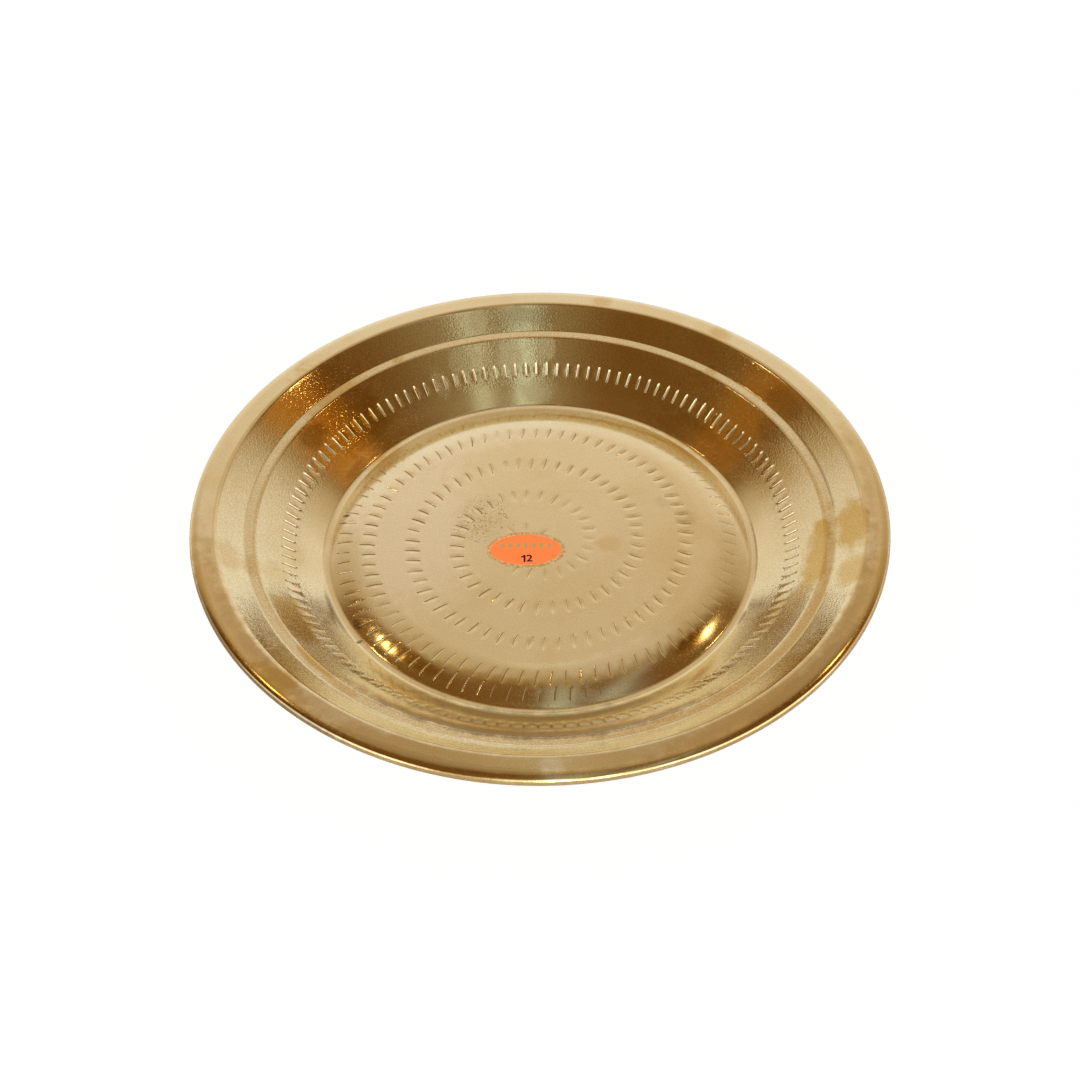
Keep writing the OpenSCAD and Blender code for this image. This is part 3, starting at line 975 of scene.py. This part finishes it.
lines = use_group(tree, lathe_lines, place=place, lines=2600.0)
peel = use_group(tree, orange_peel, place=place, grain=1150.0)
specks = remap(tree, noise(tree, place, 1500.0, detail=1.0), *SPECK_CUT, 0.0, SPECK_DULL)
roughness = remap(tree, wall, 0.0, 1.0, FLOOR_ROUGHNESS, WALL_ROUGHNESS)
roughness = calc(tree, "ADD", roughness, specks)
roughness = calc(tree, "MULTIPLY_ADD", wiped, WIPE_DULL, roughness)
peel_share = calc(tree, "MULTIPLY", wall, remap(tree, crease, *OUTSIDE_MARKS))
bumps = calc(tree, "MULTIPLY_ADD", lines, LINE_SHARE, calc(tree, "MULTIPLY", peel, peel_share))
bump = add_node(tree, "ShaderNodeBump", {
    "Height": bumps, "Strength": 1.0, "Distance": BUMP_HEIGHT})
pit_shade = remap(tree, wall, 0.0, 1.0, FLOOR_PITS, WALL_PITS)
pits = remap(tree, noise(tree, place, 1700.0), *PIT_CUT, pit_shade, BETWEEN_PITS)
metal = add_node(tree, "ShaderNodeHueSaturation", {"Color": metal, "Value": pits})
surface(tree, {"Base Color": metal.outputs["Color"], "Metallic": 1.0, "Roughness": roughness,
               "Normal": bump.outputs["Normal"]})

plate.data.materials.append(brass)
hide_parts("plate")
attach(plate, "root")
print("Plate wears", brass.name, "with", len(tree.nodes), "nodes")

# %% [markdown]
# ## The size sticker
# An oval paper sticker lies on the floor. A filled circle is squeezed to an oval in edit mode,
# moved to its place and extruded by the thickness of the paper. The printed colours come from the
# place on the oval: orange inside, a speckled gold border outside. The orange is a fluorescent
# ink, which is brighter than white paper under the same light, so it glows a little.

# %% Sticker
STICKER_L, STICKER_W, STICKER_T = 35.4, 22.4, 0.15
STICKER_AT = (-6.3, -8.1)
STICKER_SIDES = 96
ORANGE_L, ORANGE_W = 31.9, 19.0
ORANGES = ((1.0, 0.19, 0.035, 1), (1.0, 0.235, 0.055, 1))
GOLDS = ((0.70, 0.40, 0.14, 1), (0.95, 0.80, 0.46, 1))
BORDER_EDGE, FLAKE_CUT = (0.99, 1.01), (0.42, 0.6)
FLUORESCENCE = 0.42
floor_top = ring_z + FLOOR_RISE + SHEET / 2


def thicken(height):
    """Extrude what is selected upwards, and turn the normals of the whole mesh outwards."""
    bpy.ops.mesh.extrude_region_move(TRANSFORM_OT_translate={"value": (0, 0, height * MM)})
    bpy.ops.mesh.select_all(action="SELECT")
    bpy.ops.mesh.normals_make_consistent(inside=False)


bpy.ops.object.select_all(action="DESELECT")
bpy.ops.mesh.primitive_circle_add(vertices=STICKER_SIDES, radius=STICKER_L / 2 * MM,
                                  fill_type="NGON")
sticker = bpy.context.object
sticker.name = "sticker_paper_oval"
bpy.ops.object.mode_set(mode="EDIT")
bpy.ops.mesh.select_all(action="SELECT")
bpy.ops.transform.resize(value=(1, STICKER_W / STICKER_L, 1))
bpy.ops.transform.translate(value=(STICKER_AT[0] * MM, STICKER_AT[1] * MM, floor_top * MM))
thicken(STICKER_T)
bpy.ops.object.mode_set(mode="OBJECT")

paper = new_material("printed_paper")
tree = paper.node_tree
place = object_place(tree)
off = vector_calc(tree, "SUBTRACT", place, (STICKER_AT[0] * MM, STICKER_AT[1] * MM, 0))
off = vector_calc(tree, "MULTIPLY", off, (2 / MM / ORANGE_L, 2 / MM / ORANGE_W, 0))
border = remap(tree, vector_calc(tree, "LENGTH", off), *BORDER_EDGE)
fibres = noise(tree, place, 420.0, detail=3.0)
flakes = remap(tree, noise(tree, place, 1000.0), *FLAKE_CUT)
print_colour = blend(tree, border, blend(tree, fibres, *ORANGES), blend(tree, flakes, *GOLDS))
surface(tree, {
    "Base Color": print_colour, "Metallic": calc(tree, "MULTIPLY", border, flakes),
    "Roughness": 0.45, "Emission Color": print_colour,
    "Emission Strength": remap(tree, border, 0.0, 1.0, FLUORESCENCE, 0.0)})
sticker.data.materials.append(paper)
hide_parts("size_sticker")
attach(sticker, "root")
print("Sticker:", len(sticker.data.polygons), "faces")

# %% [markdown]
# ## The size number
# The size number stands on the lower half. Its 2 is a text object turned into a mesh. The 1 of that
# font is a plain bar, so this one is drawn: a plane merged to a point, extruded around the outline
# and filled. Ink is thinner than paper and stands out by a few hundredths of a millimetre.

# %% Number
INK = 0.02
NUMBER_Y = -13.7
TWO_X, TWO_SIZE, TWO_BOLD = 1.55, 5.9, 0.12
ONE = [(-1.1, -2.2), (-0.2, -2.2), (-0.2, 2.2), (-0.9, 2.2), (-2.2, 1.25), (-2.2, 0.35),
       (-1.1, 1.0)]
ink_z = floor_top + STICKER_T

bpy.ops.object.select_all(action="DESELECT")
bpy.ops.object.text_add(location=(
    (STICKER_AT[0] + TWO_X) * MM, NUMBER_Y * MM, (ink_z + INK / 2) * MM))
two = bpy.context.object
two.data.body = "2"
two.data.align_x = "CENTER"
two.data.align_y = "CENTER"
two.data.size = TWO_SIZE * MM
two.data.offset = TWO_BOLD * MM
two.data.extrude = INK / 2 * MM
two.data.resolution_u = 6
bpy.ops.object.convert(target="MESH")

bpy.ops.object.select_all(action="DESELECT")
bpy.ops.mesh.primitive_plane_add(size=0.5 * MM)
number = bpy.context.object
number.name = "size_number"
bpy.ops.object.mode_set(mode="EDIT")
bpy.ops.mesh.merge(type="CENTER")
bpy.ops.transform.translate(value=(
    (STICKER_AT[0] + ONE[0][0]) * MM, (NUMBER_Y + ONE[0][1]) * MM, ink_z * MM))
for old, new in zip(ONE, ONE[1:]):
    step = ((new[0] - old[0]) * MM, (new[1] - old[1]) * MM, 0)
    bpy.ops.mesh.extrude_vertices_move(TRANSFORM_OT_translate={"value": step})
bpy.ops.mesh.select_all(action="SELECT")
bpy.ops.mesh.edge_face_add()
thicken(INK)
bpy.ops.object.mode_set(mode="OBJECT")
two.select_set(True)
bpy.ops.object.join()
bpy.ops.object.transform_apply(location=True, rotation=True, scale=True)
print("Number:", len(number.data.polygons), "faces")

# %% [markdown]
# ## The gold row and the inks
# Above the number runs a plain row of gold lozenges: one four-sided circle, squeezed, extruded and
# then copied along the row in edit mode. Both inks are made in the same way, from two shades and a
# fine noise between them, so one function makes them.

# %% Lozenges and inks
LOZENGES, LOZENGE_STEP = 7, 3.5
LOZENGE_R, LOZENGE_SQUEEZE, LOZENGE_Y = 2.5, 0.5, -5.4
DARK_SHADES = ((0.03, 0.004, 0.025, 1), (0.08, 0.012, 0.04, 1))
GOLD_SHADES = ((0.86, 0.48, 0.14, 1), (0.72, 0.62, 0.32, 1))


def ink(name, grain, shades, look):
    material = new_material(name)
    tree = material.node_tree
    shade = blend(tree, noise(tree, object_place(tree), grain), *shades)
    surface(tree, {"Base Color": shade, **look})
    return material


bpy.ops.object.select_all(action="DESELECT")
bpy.ops.mesh.primitive_circle_add(vertices=4, radius=LOZENGE_R * MM, fill_type="NGON")
lozenges = bpy.context.object
lozenges.name = "sticker_lozenges"
bpy.ops.object.mode_set(mode="EDIT")
bpy.ops.mesh.select_all(action="SELECT")
bpy.ops.transform.resize(value=(LOZENGE_SQUEEZE, 1, 1))
first_x = STICKER_AT[0] - LOZENGE_STEP * (LOZENGES - 1) / 2
bpy.ops.transform.translate(value=(first_x * MM, LOZENGE_Y * MM, ink_z * MM))
thicken(INK)
for _ in range(LOZENGES - 1):
    bpy.ops.mesh.duplicate_move(TRANSFORM_OT_translate={"value": (LOZENGE_STEP * MM, 0, 0)})
bpy.ops.object.mode_set(mode="OBJECT")

dark_ink = ink("dark_ink", 2500.0, DARK_SHADES, {"Roughness": 0.7, "Specular IOR Level": 0.1})
gold_ink = ink("gold_ink", 1800.0, GOLD_SHADES, {"Metallic": 0.8, "Roughness": 0.4})
number.data.materials.append(dark_ink)
lozenges.data.materials.append(gold_ink)
for print_piece in (number, lozenges):
    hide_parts("size_sticker")
    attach(print_piece, "root")
print("Lozenges:", len(lozenges.data.polygons), "faces")

# %% [markdown]
# ## The wire in the edge
# The wire inside the rolled edge is drawn steel, and only a narrow gap under the plate shows it.
# Its shape is right as the CAD gives it, so it stays as it is and gets a finish of its own: dull
# grey metal with a few rusty spots.

# %% Rim wire
STEEL, RUST = (0.46, 0.45, 0.43, 1), (0.24, 0.13, 0.07, 1)
STEEL_ROUGHNESS, RUST_ROUGHNESS = 0.35, 0.7

drawn_steel = new_material("drawn_steel")
tree = drawn_steel.node_tree
rusty = use_group(tree, clouds, place=object_place(tree), size=90.0, low=0.5, high=0.7)
surface(tree, {
    "Base Color": blend(tree, rusty, STEEL, RUST), "Metallic": 0.9,
    "Roughness": remap(tree, rusty, 0.0, 1.0, STEEL_ROUGHNESS, RUST_ROUGHNESS)})
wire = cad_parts["rim_wire"]
wire.data.materials.clear()
wire.data.materials.append(drawn_steel)
print("Wire wears", drawn_steel.name)
